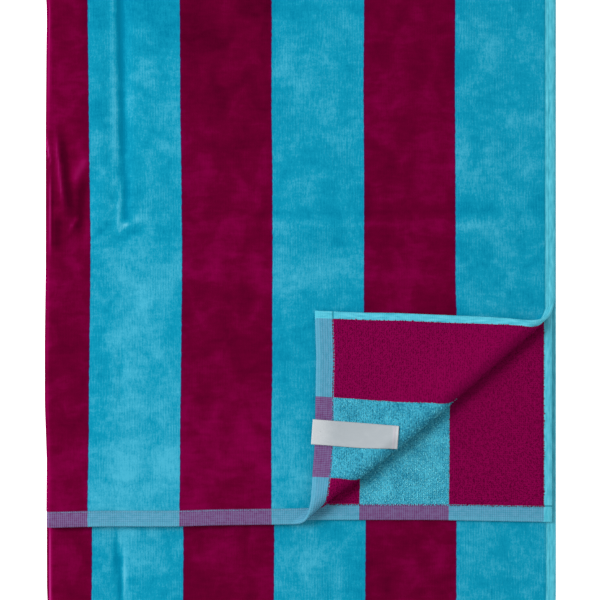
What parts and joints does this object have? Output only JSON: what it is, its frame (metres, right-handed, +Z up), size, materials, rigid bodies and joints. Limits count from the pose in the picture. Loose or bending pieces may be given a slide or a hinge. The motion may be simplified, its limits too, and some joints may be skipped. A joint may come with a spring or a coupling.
{
  "type": "bath towel",
  "caption": "Striped cotton bath towel, folded in half lengthwise and in three across, with its front corner turned back and a bare sewn label.",
  "frame": {"origin": "middle of the footprint, on the surface the folded towel lies on", "axes": "+Z up, +Y along the folded strip from the front fold to the back fold, +X from the lengthwise fold to the selvedges"},
  "size_m": [0.3532, 0.502, 0.0334],
  "materials": {
    "towelling": "plum and turquoise stripes, velour face and terry reverse",
    "label_satin": "plain pale satin, bare"
  },
  "bodies": {
    "root": {"towel": "towelling", "label": "label_satin"}
  },
  "joints": []
}
